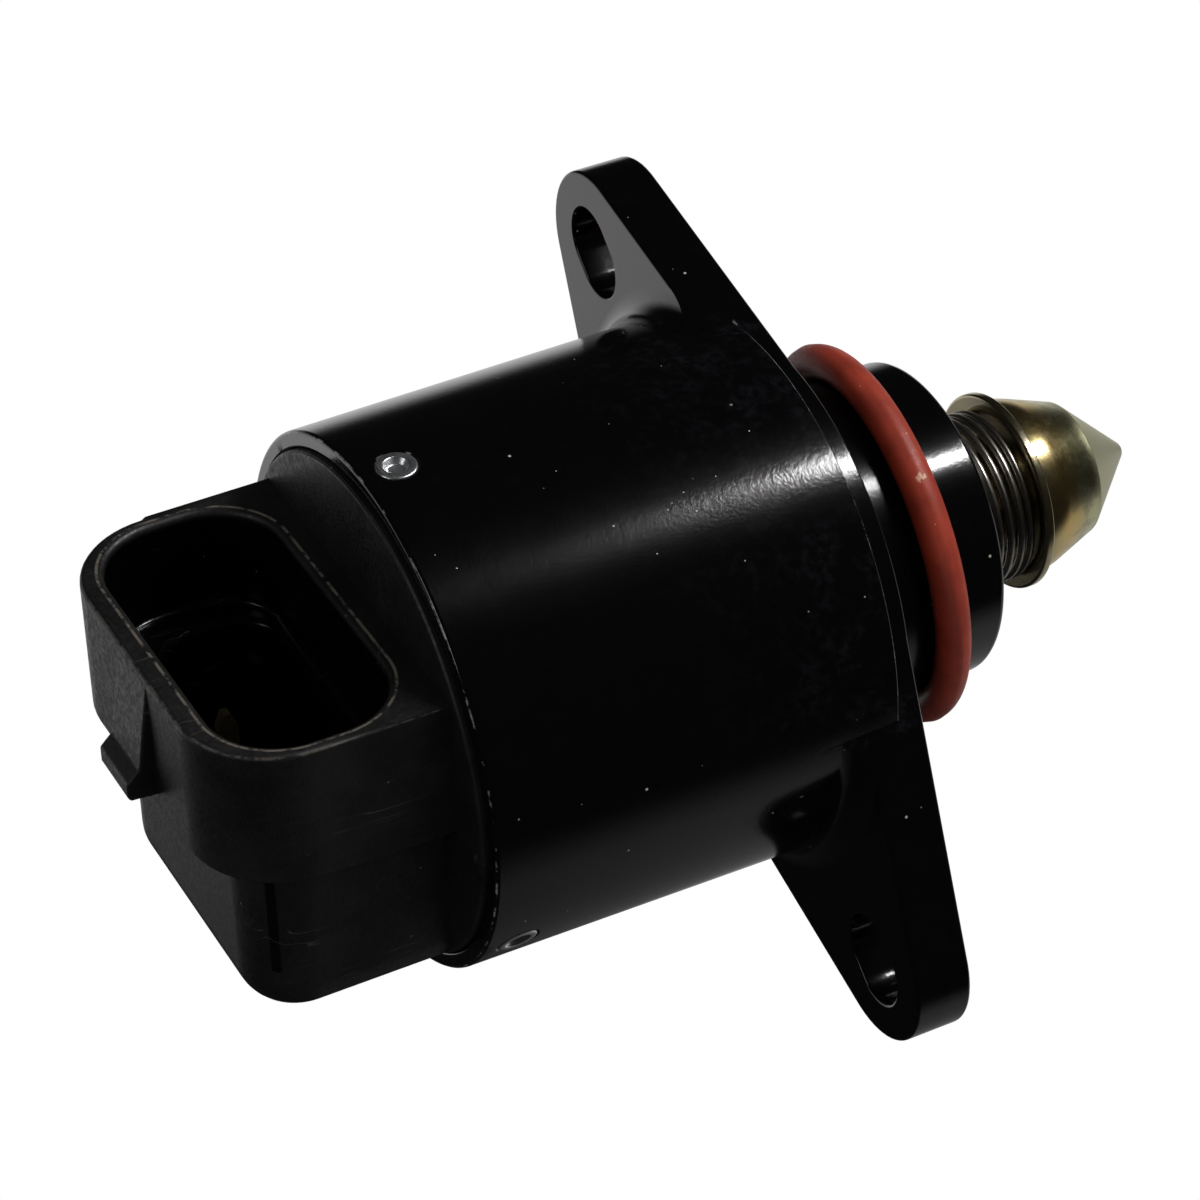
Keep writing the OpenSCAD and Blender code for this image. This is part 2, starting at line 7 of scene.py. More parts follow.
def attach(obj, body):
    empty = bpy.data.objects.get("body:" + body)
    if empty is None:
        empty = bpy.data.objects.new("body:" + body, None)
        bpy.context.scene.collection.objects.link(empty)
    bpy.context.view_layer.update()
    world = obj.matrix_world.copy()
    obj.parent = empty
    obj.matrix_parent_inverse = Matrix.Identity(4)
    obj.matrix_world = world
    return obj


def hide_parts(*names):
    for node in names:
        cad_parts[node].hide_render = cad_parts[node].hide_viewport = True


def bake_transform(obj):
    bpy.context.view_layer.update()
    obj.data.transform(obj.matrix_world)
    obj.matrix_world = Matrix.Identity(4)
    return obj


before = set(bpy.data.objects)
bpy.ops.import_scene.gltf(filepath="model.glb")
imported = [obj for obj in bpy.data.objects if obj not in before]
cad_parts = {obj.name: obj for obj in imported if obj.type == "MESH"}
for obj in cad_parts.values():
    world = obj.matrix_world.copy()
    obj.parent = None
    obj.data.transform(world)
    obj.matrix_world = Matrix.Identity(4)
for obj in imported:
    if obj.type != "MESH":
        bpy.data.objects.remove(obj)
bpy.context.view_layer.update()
mm = 0.001
scene = bpy.context.scene


# camera

cameraView = {
    "place": (-110.96, -249.84, -33.12),   # mm, fitted to the photograph
    "turn": (97.880, 21.179, -18.600),     # degrees
    "lens": 125.675,
    "sensor": 36.0,
}


def makeCamera(view):
    data = bpy.data.cameras.new("camera")
    data.lens = view["lens"]
    data.sensor_width = view["sensor"]
    data.clip_start = 0.01
    camera = bpy.data.objects.new("camera", data)
    camera.location = Vector(view["place"]) * mm
    camera.rotation_euler = Euler([math.radians(angle) for angle in view["turn"]])
    scene.collection.objects.link(camera)
    scene.camera = camera


makeCamera(cameraView)
print("camera placed")


# one socket of a material; sums on it add Math nodes, and places and lengths are in metres

class Wire:
    def __init__(self, tree, socket):
        self.tree = tree
        self.socket = socket

    def make(self, kind, settings=None, sockets=None, out=0):
        node = self.tree.nodes.new("ShaderNode" + kind)
        for name, value in (settings or {}).items():
            if name == "stops":
                ramp = node.color_ramp
                while len(ramp.elements) < len(value):
                    ramp.elements.new(0.5)
                for element, (spot, colour) in zip(ramp.elements, value):
                    element.position = spot
                    element.color = colour
            else:
                setattr(node, name, value)
        for key, value in (sockets or {}).items():
            if isinstance(value, Wire):
                self.tree.links.new(value.socket, node.inputs[key])
            else:
                node.inputs[key].default_value = value
        return Wire(self.tree, node.outputs[out])

    def sum(self, operation, *values):
        return self.make("Math", {"operation": operation}, dict(enumerate(values)))

    def __add__(self, other):
        return self.sum("ADD", self, other)

    def __sub__(self, other):
        return self.sum("SUBTRACT", self, other)

    def __rsub__(self, other):
        return self.sum("SUBTRACT", other, self)

    def __mul__(self, other):
        return self.sum("MULTIPLY", self, other)

    __radd__ = __add__
    __rmul__ = __mul__

    def size(self):
        return self.sum("ABSOLUTE", self)

    def most(self, other):
        return self.sum("MAXIMUM", self, other)

    def root(self):
        return self.sum("SQRT", self)

    def part(self, index):
        return self.make("SeparateXYZ", None, {0: self}, index)

    def placed(self, move=(0, 0, 0), turn=(0, 0, 0), stretch=(1, 1, 1)):
        return self.make("Mapping", None,
                         {"Vector": self, "Location": move, "Rotation": turn, "Scale": stretch})

    # distance from the valve axis
    def fromAxis(self):
        return self.make("VectorMath", {"operation": "LENGTH"}, {0: self.placed(stretch=(0, 1, 1))}, 1)

    def noise(self, scale, detail=2.0, rough=0.5):
        return self.make("TexNoise", None,
                         {"Vector": self, "Scale": scale, "Detail": detail, "Roughness": rough})

    def cells(self, scale, out=0):
        return self.make("TexVoronoi", None, {"Vector": self, "Scale": scale}, out)

    def rise(self, low, high, first=0.0, last=1.0):
        return self.make("MapRange", {"clamp": True, "interpolation_type": "SMOOTHSTEP"},
                         {"Value": self, "From Min": low, "From Max": high, "To Min": first, "To Max": last})

    def fall(self, low, high):
        return self.rise(low, high, 1.0, 0.0)

    def band(self, middle, half, soft):
        return (self - middle).size().fall(half, half + soft)

    def blend(self, first, last):
        return self.make("Mix", {"data_type": "RGBA"}, {0: self, 6: first, 7: last}, 2)

    def between(self, first, last):
        return self.make("Mix", {"data_type": "FLOAT"}, {0: self, 2: first, 3: last})

    def ramp(self, stops):
        return self.make("ValToRGB", {"stops": stops}, {0: self})

    def bump(self, strength, distance):
        return self.make("Bump", None, {"Height": self, "Strength": strength, "Distance": distance})

    # small spots, one in each picked cell; share is how many cells have one
    def specks(self, scale, reach, share):
        picked = self.cells(scale, 1).part(0).rise(1 - share, 1 - share + 0.01)
        return self.cells(scale).fall(reach * 0.5, reach) * picked

    # thin lines along the stretched direction, in patches
    def scratches(self, scale, width, turn, patch):
        line = self.placed(turn=turn, stretch=(0.06, 1, 1)).noise(scale, 1.0)
        keep = self.placed(move=(0.3, 0.1, 0.7)).noise(scale * 0.25, 1.0).rise(patch, patch + 0.08)
        return line.band(0.5, width, width) * keep


def startMaterial(name):
    material = bpy.data.materials.new(name)
    material.use_nodes = True
    tree = material.node_tree
    shader = tree.nodes["Principled BSDF"]
    place = Wire(tree, tree.nodes.new("ShaderNodeTexCoord").outputs["Object"])
    return material, shader, place


def finishMaterial(shader, place, sockets):
    for key, value in sockets.items():
        if isinstance(value, Wire):
            place.tree.links.new(value.socket, shader.inputs[key])
        else:
            shader.inputs[key].default_value = value


def grey(value):
    return (value, value, value, 1)


# housing finish: black paint with dust, specks, nicks, a worn rim, and a light band at the step that is partly
# wear and partly painted highlight

blackPaint = {
    "colour": (0.0009, 0.0009, 0.0011, 1),
    "haze": (0.0045, 0.0047, 0.0058, 1),
    "speck": (0.36, 0.33, 0.27, 1),
    "bareAndHighlight": (0.42, 0.41, 0.39, 1),
    "rough": 0.135,
    "bodyRadius": 0.0179,             # m
    "stepEdge": -0.0017,
    "rimEdge": -0.02974,
    "spigotRoot": 0.0028,
    "nickRow": (-0.0085, 0.0036),     # x and z of a row of nicks
}


def makeBlackPaint(look):
    material, shader, place = startMaterial("blackPaint")
    x, y, z = place.part(0), place.part(1), place.part(2)
    radius = place.fromAxis()
    cloud = place.noise(420, 4, 0.65)
    dust = place.noise(1700, 3, 0.7)
    grain = place.noise(4200, 2)
    front = x.rise(-0.018, -0.002) * radius.band(look["bodyRadius"], 0.0003, 0.0003)
    haze = cloud.rise(0.38, 0.7) * dust.rise(0.38, 0.66) * (0.15 + 0.85 * front)
    specks = place.specks(820, 0.1, 0.06).most(place.specks(2300, 0.15, 0.018))
    rowX, rowZ = look["nickRow"]
    row = z.band(rowZ, 0.0005, 0.0005) * x.band(rowX, 0.004, 0.002) * y.fall(-0.001, 0.0)
    strewn = place.placed(turn=(0.4, 0.5, 0.3), stretch=(0.35, 1, 1)).specks(1500, 0.1, 0.012)
    nicks = strewn.most(row * place.specks(2100, 0.15, 0.3))
    # light band at the step: partly chipped wear, partly painted highlight
    step = x.band(look["stepEdge"], 0.00005, 0.00008) * radius.band(look["bodyRadius"], 0.00012, 0.0001) \
        * place.noise(1300, 3, 0.7).rise(0.5, 0.62)
    rim = x.band(look["rimEdge"], 0.00002, 0.00005) * radius.rise(0.0176, 0.01766) \
        * place.noise(700, 4, 0.75).rise(0.5, 0.62)
    wearAndStepHighlight = (0.25 * step).most(0.5 * rim)
    root = x.band(look["spigotRoot"], 0.0018, 0.001)     # duller there
    paint = haze.blend(look["colour"], look["haze"])
    marked = specks.most(nicks * 0.3).blend(paint, look["speck"])
    rough = cloud.rise(0.3, 0.7, look["rough"] - 0.003, look["rough"] + 0.006)
    finishMaterial(shader, place, {
        "Base Color": wearAndStepHighlight.blend(marked, look["bareAndHighlight"]),
        "Metallic": wearAndStepHighlight * 0.6,
        "Roughness": rough + 0.06 * root + 0.2 * specks,
        "Normal": (grain + 1.5 * specks - 1.5 * nicks + 1.2 * dust).bump(0.2, 0.00002),
    })
    return material


# connector finish: dull grainy moulding with a worn rim, glossy inside its socket and painted darker there as
# shade

blackMoulding = {
    "colour": (0.0032, 0.0032, 0.0035, 1),
    "pale": (0.0085, 0.0082, 0.0082, 1),
    # painted shade: the darker colour inside the socket
    "inside": (0.0008, 0.0008, 0.0009, 1),
    "scuff": (0.085, 0.074, 0.06, 1),
    "rough": 0.45,
    "roughInside": 0.2,
    "gloss": 0.42,
    "well": {"half": 0.0104, "back": -0.0418, "front": -0.0311, "low": -0.0097, "high": 0.0012},   # m
    "rim": (0.00895, 0.0091, 0.00917),     # heights between which its edges are worn
}


def makeBlackMoulding(look, s):
    material, shader, place = startMaterial("blackMoulding")
    cloud = place.noise(180, 4, 0.6)
    grain = place.noise(2600, 3, 0.7)
    specks = place.specks(1100, 0.12, 0.08)
    scratches = place.scratches(700, 0.004, (0.9, 0.3, 0.5), 0.58)
    level = place.placed(turn=(-math.radians(s["angle"]), 0, 0))     # in line with the socket
    x, y, u = level.part(0), level.part(1).size(), level.part(2)
    corner = s["socketCorner"] * mm
    aside = (y - (s["socketHalf"] * mm - corner)).most(0.0)
    along = (s["socketBack"] * mm + corner - x).most(x - (s["socketFront"] * mm - corner)).most(0.0)
    reach = (aside * aside + along * along).root() - corner     # out from the wall of the socket
    box, soft = look["well"], 0.0001
    well = y.fall(box["half"], box["half"] + soft) * x.rise(box["back"], box["back"] + soft) \
        * x.fall(box["front"], box["front"] + soft) * u.rise(box["low"], box["low"] + soft) \
        * u.fall(box["high"], box["high"] + soft)
    socket = reach.fall(0.0004, 0.00055) * u.rise(box["high"], box["high"] + soft) * u.fall(0.0085, 0.0089)
    # inside the socket and its well: glossier, and painted darker as shade
    inside = socket.most(well)
    low, high, top = look["rim"]
    innerEdge = reach.band(0.00047, 0.00005, 0.00008)
    outerEdge = 0.6 * u.fall(high, top) * reach.rise(0.0006, 0.0007)
    edges = u.rise(low, high) * innerEdge.most(outerEdge)
    shroud = x.fall(-0.0312, -0.0307) * place.noise(900, 3, 0.7).rise(0.38, 0.56)
    worn = (edges * shroud).most(specks * 0.6).most(scratches * 0.3)
    outside = cloud.rise(0.3, 0.72).blend(look["colour"], look["pale"])
    dull = grain.rise(0.3, 0.7, look["rough"] - 0.07, look["rough"] + 0.12)
    finishMaterial(shader, place, {
        "Specular IOR Level": look["gloss"],
        "Base Color": worn.blend(inside.blend(outside, look["inside"]), look["scuff"]),
        "Roughness": (1 - inside) * (dull - look["roughInside"]) + look["roughInside"],
        "Normal": ((1.4 - inside) * grain + 0.5 * cloud + specks).bump(0.4, 0.00003),
    })
    return material


# seal finish: dusty red silicone with one pale nick

redSilicone = {
    "colour": (0.29, 0.031, 0.013, 1),
    "dark": (0.2, 0.021, 0.009, 1),
    "dust": (0.5, 0.3, 0.2, 1),
    "rough": 0.46,
    "gloss": 0.3,
    "nick": (0.0055, -0.0131, 0.0006),    # m
}


def makeRedSilicone(look):
    material, shader, place = startMaterial("redSilicone")
    cloud = place.noise(420, 3, 0.6)
    grain = place.noise(6000, 2)
    toNick = place.make("VectorMath", {"operation": "DISTANCE"}, {0: place, 1: look["nick"]}, 1)
    nick = toNick.fall(0.00025, 0.00045) * place.noise(2600, 3, 0.7).rise(0.44, 0.5)
    specks = (place.specks(1500, 0.13, 0.14) * 0.6).most(nick)
    tint = cloud.rise(0.3, 0.7).blend(look["dark"], look["colour"])
    finishMaterial(shader, place, {
        "Specular IOR Level": look["gloss"],
        "Base Color": specks.blend(tint, look["dust"]),
        "Roughness": grain.rise(0.3, 0.7, look["rough"] - 0.05, look["rough"] + 0.1),
        "Normal": (grain + specks).bump(0.2, 0.00002),
    })
    return material


# pintle finish: yellow passivated zinc, its tint changing along the cone

yellowZinc = {
    "stops": [
        (0.0, (0.42, 0.37, 0.25, 1)),
        (0.08, (0.58, 0.47, 0.22, 1)),
        (0.18, (0.64, 0.44, 0.16, 1)),
        (0.28, (0.57, 0.46, 0.19, 1)),
        (0.42, (0.52, 0.50, 0.27, 1)),
        (0.58, (0.55, 0.54, 0.33, 1)),
        (1.0, (0.58, 0.56, 0.40, 1)),
    ],
    "tarnish": (0.27, 0.26, 0.17, 1),
    "rough": 0.2,
    "nose": 0.42,                                  # roughness there
    "head": (0.0160, 0.0266),                      # m, where the stops begin and end
    "tarnished": (0.0178, 0.0188, 0.0214, 0.0222),
}


def makeYellowZinc(look):
    material, shader, place = startMaterial("yellowZinc")
    x = place.part(0)
    cloud = place.noise(260, 3, 0.6)
    grain = place.noise(3500, 3)
    along = x.rise(*look["head"]) + 0.22 * (cloud - 0.5)
    marks = place.placed(stretch=(9, 0.25, 0.25)).noise(900, 2)     # from turning
    stain = place.placed(move=(0.2, 0.4, 0.1)).noise(430, 4, 0.7).rise(0.44, 0.66)
    spread = look["tarnished"]
    tarnish = stain * x.rise(spread[0], spread[1]) * x.fall(spread[2], spread[3])
    rough = x.rise(0.0213, 0.0224, look["rough"], look["nose"])
    finishMaterial(shader, place, {
        "Base Color": (0.75 * tarnish).blend(along.ramp(look["stops"]), look["tarnish"]),
        "Metallic": 1.0,
        "Roughness": rough + 0.08 * (grain - 0.5) + 0.08 * tarnish,
        "Normal": (marks + 0.5 * grain).bump(0.08, 0.00002),
    })
    return material


# small parts and the parts inside: clouded, with fine turning lines, or wound from wire

def makeSimple(name, look):
    material, shader, place = startMaterial(name)
    x, radius = place.part(0), place.fromAxis()
    cloud = place.noise(700, 3, 0.6)
    grain = place.noise(5000, 2)
    lines = place.make("CombineXYZ", None, {0: x * 3.0, 1: radius * 3.0}).noise(2500, 2)
    dark = tuple(look.get("dark", 0.75) * value for value in look["colour"][:3]) + (1,)
    rough = look["rough"]
    height = grain + 0.8 * lines
    if "wire" in look:
        turns = x * (2 * math.pi / look["wire"])
        height = turns.sum("SINE", turns) + 0.3 * grain
    finishMaterial(shader, place, {
        "Base Color": cloud.rise(0.3, 0.7).blend(dark, look["colour"]),
        "Metallic": look["metal"],
        "Roughness": lines.rise(0.3, 0.7, rough - 0.05, rough + 0.06),
        "Normal": height.bump(look.get("relief", 0.12), 0.00002),
    })
    return material


simpleLooks = {
    "brightZinc": {"colour": (0.78, 0.79, 0.81, 1), "metal": 1.0, "rough": 0.34},
    "springSteel": {"colour": (0.34, 0.31, 0.27, 1), "metal": 1.0, "rough": 0.3},
    "tinnedBrass": {"colour": (0.93, 0.78, 0.46, 1), "metal": 1.0, "rough": 0.45},
    "poleSteel": {"colour": (0.50, 0.51, 0.53, 1), "metal": 1.0, "rough": 0.36},
    "bearingSteel": {"colour": (0.60, 0.61, 0.63, 1), "metal": 1.0, "rough": 0.16},
    "cageBrass": {"colour": (0.62, 0.42, 0.16, 1), "metal": 1.0, "rough": 0.3},
    "bronze": {"colour": (0.48, 0.27, 0.12, 1), "metal": 1.0, "rough": 0.42},
    "copperWire": {"colour": (0.58, 0.20, 0.07, 1), "metal": 1.0, "rough": 0.3,
                   "wire": 0.00025, "relief": 0.7},
    "ferrite": {"colour": (0.035, 0.034, 0.036, 1), "metal": 0.0, "rough": 0.55, "relief": 0.4},
    "nylon": {"colour": (0.66, 0.62, 0.50, 1), "metal": 0.0, "rough": 0.45, "dark": 0.92},
    "blackRubber": {"colour": (0.012, 0.012, 0.012, 1), "metal": 0.0, "rough": 0.6},
    "screwSteel": {"colour": (0.42, 0.42, 0.43, 1), "metal": 1.0, "rough": 0.3},
}
made = {name: makeSimple(name, look) for name, look in simpleLooks.items()}
made["blackPaint"] = makeBlackPaint(blackPaint)
made["redSilicone"] = makeRedSilicone(redSilicone)
made["yellowZinc"] = makeYellowZinc(yellowZinc)

finishOf = {
    "housing": "blackPaint",
    "connector_cap": "blackMoulding",
    "terminal_1": "tinnedBrass",
    "terminal_2": "tinnedBrass",
    "terminal_3": "tinnedBrass",
    "terminal_4": "tinnedBrass",
    "stake_pins": "brightZinc",
    "cap_seal": "blackRubber",
    "flange_seal": "redSilicone",
    "pintle": "yellowZinc",
    "lead_screw": "screwSteel",
    "pintle_spring": "springSteel",
    "guide_bush": "nylon",
    "bearing_outer_ring": "bearingSteel",
    "bearing_inner_ring": "bearingSteel",
    "bearing_balls": "bearingSteel",
    "ball_cage": "cageBrass",
    "rotor_hub": "nylon",
    "rotor_magnet": "ferrite",
    "rear_bush": "bronze",
    "thrust_washer": "bearingSteel",
    "end_plate": "poleSteel",
    "front_pole_cup": "poleSteel",
    "front_pole_plate": "poleSteel",
    "rear_pole_plate": "poleSteel",
    "rear_pole_cup": "poleSteel",
    "front_bobbin": "nylon",
    "front_coil": "copperWire",
    "rear_bobbin": "nylon",
    "rear_coil": "copperWire",
}
print("materials made")


# tools for shaping; corners, places and widths are in mm

towardX = Matrix.Rotation(math.pi / 2, 4, "Y")     # turns +Z to +X


# the line through (place along the axis, radius, rounding), with its roundings drawn
def roundedLine(corners, segments):
    points = []
    for i, (x, r, radius) in enumerate(corners):
        here = Vector((x, r))
        if radius == 0:
            points.append(here)
            continue
        back = (Vector(corners[i - 1][:2]) - here).normalized()
        ahead = (Vector(corners[(i + 1) % len(corners)][:2]) - here).normalized()
        half = back.angle(ahead) / 2
        centre = here + (back + ahead).normalized() * (radius / math.sin(half))
        first = here + back * (radius / math.tan(half)) - centre
        last = here + ahead * (radius / math.tan(half)) - centre
        for k in range(segments + 1):
            points.append(centre + first.slerp(last, k / segments) * radius)
    return points


# a closed outline of such corners spun about the valve axis
def turned(corners, steps=192, segments=5):
    form = bmesh.new()
    verts = [form.verts.new((p.x * mm, 0, p.y * mm)) for p in roundedLine(corners, segments)]
    for a, b in zip(verts, verts[1:] + verts[:1]):
        form.edges.new((a, b))
    bmesh.ops.spin(form, geom=form.verts[:] + form.edges[:], angle=2 * math.pi, steps=steps,
                   axis=(1, 0, 0), cent=(0, 0, 0), use_merge=True)
    bmesh.ops.remove_doubles(form, verts=form.verts, dist=0.000001)
    bmesh.ops.dissolve_degenerate(form, edges=form.edges, dist=0.0000005)
    bmesh.ops.delete(form, geom=[edge for edge in form.edges if not edge.link_faces], context="EDGES")
    bmesh.ops.recalc_face_normals(form, faces=form.faces)
    return form


def block(low, high):
    form = bmesh.new()
    bmesh.ops.create_cube(form, size=1)
    middle = [(a + b) / 2 * mm for a, b in zip(low, high)]
    bmesh.ops.scale(form, verts=form.verts, vec=[(b - a) * mm for a, b in zip(low, high)])
    bmesh.ops.translate(form, verts=form.verts, vec=middle)
    return form


# pushes faces out into a solid
def push(form, faces, way):
    grown = bmesh.ops.extrude_face_region(form, geom=faces)
    moved = [item for item in grown["geom"] if isinstance(item, bmesh.types.BMVert)]
    bmesh.ops.translate(form, verts=moved, vec=[step * mm for step in way])
    bmesh.ops.recalc_face_normals(form, faces=form.faces)


# rounds the sharp edges whose two ends, in mm, pass the test
def roundEdges(form, width, test, segments=4):
    chosen = [edge for edge in form.edges if len(edge.link_faces) == 2
              and edge.calc_face_angle(0) > 0.5 and test([vert.co / mm for vert in edge.verts])]
    bmesh.ops.bevel(form, geom=chosen, offset=width * mm, offset_type="OFFSET", affect="EDGES",
                    segments=segments, profile=0.5, material=-1, clamp_overlap=False)
    return form


def joined(*forms):
    whole = forms[0]
    for form in forms[1:]:
        mesh = bpy.data.meshes.new("joined")
        form.to_mesh(mesh)
        form.free()
        whole.from_mesh(mesh)
        bpy.data.meshes.remove(mesh)
    return whole


# unites, cuts or intersects two closed forms
def merged(form, other, operation):
    things = []
    for part in (form, other):
        mesh = bpy.data.meshes.new("merged")
        part.to_mesh(mesh)
        part.free()
        thing = bpy.data.objects.new("merged", mesh)
        scene.collection.objects.link(thing)
        things.append(thing)
    step = things[0].modifiers.new("merged", "BOOLEAN")
    step.operation = operation
    step.solver = "EXACT"
    step.object = things[1]
    done = bmesh.new()
    done.from_object(things[0], bpy.context.evaluated_depsgraph_get())
    for thing in things:
        mesh = thing.data
        bpy.data.objects.remove(thing)
        bpy.data.meshes.remove(mesh)
    bmesh.ops.remove_doubles(done, verts=done.verts, dist=0.000001)
    bmesh.ops.dissolve_degenerate(done, edges=done.edges, dist=0.000001)
    bmesh.ops.delete(done, geom=[vert for vert in done.verts if not vert.link_faces], context="VERTS")
    return done


def addPiece(name, form, finish, body, replaced, sharp=35):
    mesh = bpy.data.meshes.new(name)
    form.to_mesh(mesh)
    form.free()
    mesh.shade_smooth()
    mesh.set_sharp_from_angle(angle=math.radians(sharp))
    mesh.materials.append(made[finish])
    piece = bpy.data.objects.new(name, mesh)
    scene.collection.objects.link(piece)
    weights = piece.modifiers.new("evenShading", "WEIGHTED_NORMAL")
    weights.keep_sharp = True
    if body:
        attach(piece, body)
    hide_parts(replaced)
    return piece


# housing: turned body and spigot, ears with slotted holes, holes for the stake pins

housingShape = {
    "rim": -29.8, "bodyRear": 17.8, "bodyFront": 18.0, "skin": 17.97, "skinAt": -7.6,
    "step": 16.7, "stepWide": 1.7, "spigot": 10.77, "spigotEnd": 10.75, "bore": 7.4,
    "pocket": 8.0, "pocketFront": 1.6, "guide": 5.5, "guideFront": 2.4,
    "stator": 16.3, "statorFront": -3.2, "seat": -23.0, "capBore": 16.7,
    "flange": 4.0, "flangeIn": 0.08, "earTip": 5.6, "earShift": (0.5, -1.35), "earApart": 50.0,
    "slotWide": 4.9, "slotLong": 6.2, "slotEdge": 0.2, "edge": 0.25,
    "fillet": 2.0, "filletIn": 17.0, "filletLap": 0.12, "core": 16.5,
    "stakeAngle": 50.4, "stakeAt": -27.3, "stakeHole": 1.4,
}


def bodyForm(s):
    return turned([
        (s["rim"], s["capBore"], 0.15), (s["rim"], s["bodyRear"], 0.3), (s["skinAt"], s["skin"], 0),
        (-s["stepWide"], s["bodyFront"], 0.15), (-s["stepWide"], s["step"], 0.12),
        (0, s["step"], 0.2), (0, s["spigot"], 0.15),
        (s["spigotEnd"], s["spigot"], 0.45), (s["spigotEnd"], s["bore"], 0.2),
        (s["guideFront"], s["bore"], 0.1), (s["guideFront"], s["guide"], 0.1),
        (s["pocketFront"], s["guide"], 0.1), (s["pocketFront"], s["pocket"], 0.1),
        (s["statorFront"], s["pocket"], 0.15), (s["statorFront"], s["stator"], 0.15),
        (s["seat"], s["stator"], 0.1), (s["seat"], s["capBore"], 0.1),
    ], steps=256, segments=4)


def earSpots(s):
    return [(s["earShift"][0], s["earShift"][1] + side * s["earApart"] / 2) for side in (-1, 1)]


# the flange's outline as a plate: a hull round its middle and its two ears
def plateForm(s, x0, x1, inset, edge):
    form = bmesh.new()
    circles = [(0, 0, s["step"] - s["flangeIn"], 160)] + [(y, z, s["earTip"], 64) for y, z in earSpots(s)]
    for y, z, r, steps in circles:
        place = Matrix.Translation((x0 * mm, y * mm, z * mm)) @ towardX
        bmesh.ops.create_circle(form, cap_ends=False, segments=steps, radius=(r - inset) * mm, matrix=place)
    hull = bmesh.ops.convex_hull(form, input=form.verts)
    bmesh.ops.delete(form, geom=hull["geom_interior"], context="VERTS")
    bmesh.ops.dissolve_limit(form, angle_limit=0.001, verts=form.verts, edges=form.edges)
    for face in list(form.faces)[1:]:
        form.faces.remove(face)
    push(form, form.faces[:], (x1 - x0, 0, 0))
    if edge:
        roundEdges(form, edge, lambda spots: abs(spots[0].x - spots[1].x) < 0.01)
    return form


def slotForm(s, y, z):
    form = bmesh.new()
    run = (s["slotLong"] - s["slotWide"]) / 2 * mm
    halfStep = Matrix.Rotation(math.pi / 64, 4, "Z")     # keeps every corner off the line that parts the ends
    place = Matrix.Translation((-2 * s["flange"] * mm, 0, 0)) @ towardX @ halfStep
    bmesh.ops.create_circle(form, cap_ends=True, segments=64, radius=s["slotWide"] / 2 * mm, matrix=place)
    for vert in form.verts:
        vert.co.z += run if vert.co.z > 0 else -run
    push(form, form.faces[:], (2 * s["flange"] + 2, 0, 0))
    bmesh.ops.translate(form, verts=form.verts, vec=(0, y * mm, z * mm))
    return form


def stakeTurn(s, k):
    around = Matrix.Rotation(math.radians(s["stakeAngle"] + 120 * k), 4, "X")
    return around @ Matrix.Translation((s["stakeAt"] * mm, 0, 0)) @ Matrix.Rotation(-math.pi / 2, 4, "Y")


# the same turned form at each of the three stakes; its corners run out from the valve axis
def stakeForms(s, corners, steps=64):
    forms = []
    for k in range(3):
        form = turned(corners, steps=steps, segments=4)
        bmesh.ops.transform(form, matrix=stakeTurn(s, k), verts=form.verts)
        forms.append(form)
    return joined(*forms)


# the curve between the body's skin and the back of the flange, spun all round
def filletForm(s):
    front, size, skin = s["filletLap"] - s["flange"], s["fillet"], s["skin"]
    rear = -s["flange"] - size
    arc = [(rear + size * math.sin(t * math.pi / 20), skin + size - size * math.cos(t * math.pi / 20), 0)
           for t in range(1, 11)]
    return turned([(rear, s["filletIn"], 0), (rear, skin, 0)] + arc
                  + [(front, skin + size, 0), (front, s["filletIn"], 0)], steps=256)


def housingForm(s):
    ears = merged(filletForm(s), plateForm(s, -s["flange"] - s["fillet"] - 0.5, -0.5, 0.1, 0), "INTERSECT")
    ears = merged(plateForm(s, -s["flange"], 0, 0, s["edge"]), ears, "UNION")
    core = turned([(-7, 0, 0), (-7, s["core"], 0), (1, s["core"], 0), (1, 0, 0)], steps=96)
    whole = merged(bodyForm(s), merged(ears, core, "DIFFERENCE"), "UNION")
    slots = joined(*[slotForm(s, y, z) for y, z in earSpots(s)])
    whole = merged(whole, slots, "DIFFERENCE")
    bmesh.ops.dissolve_limit(whole, angle_limit=0.002, verts=whole.verts, edges=whole.edges)

    def onSlot(ends):
        level = all(abs(p.x) < 0.01 for p in ends) or all(abs(p.x + s["flange"]) < 0.01 for p in ends)
        reach = s["slotLong"] / 2 + 0.1
        return level and any(all(math.hypot(p.y - y, p.z - z) < reach for p in ends) for y, z in earSpots(s))

    roundEdges(whole, s["slotEdge"], onSlot, 3)
    hole = s["stakeHole"]
    holes = stakeForms(s, [(15.0, 0, 0), (15.0, hole, 0), (17.68, hole, 0), (17.95, hole + 0.2, 0),
                           (19.0, hole + 0.6, 0), (19.0, 0, 0)])     # flared where they leave the skin
    return merged(whole, holes, "DIFFERENCE")


housing = addPiece("housingShell", housingForm(housingShape), "blackPaint", "valve_body",
                   "housing")
print("housing made,", len(housing.data.polygons), "faces")


# connector: plug in the housing, shroud with its socket, rolled lower body and latch ramp

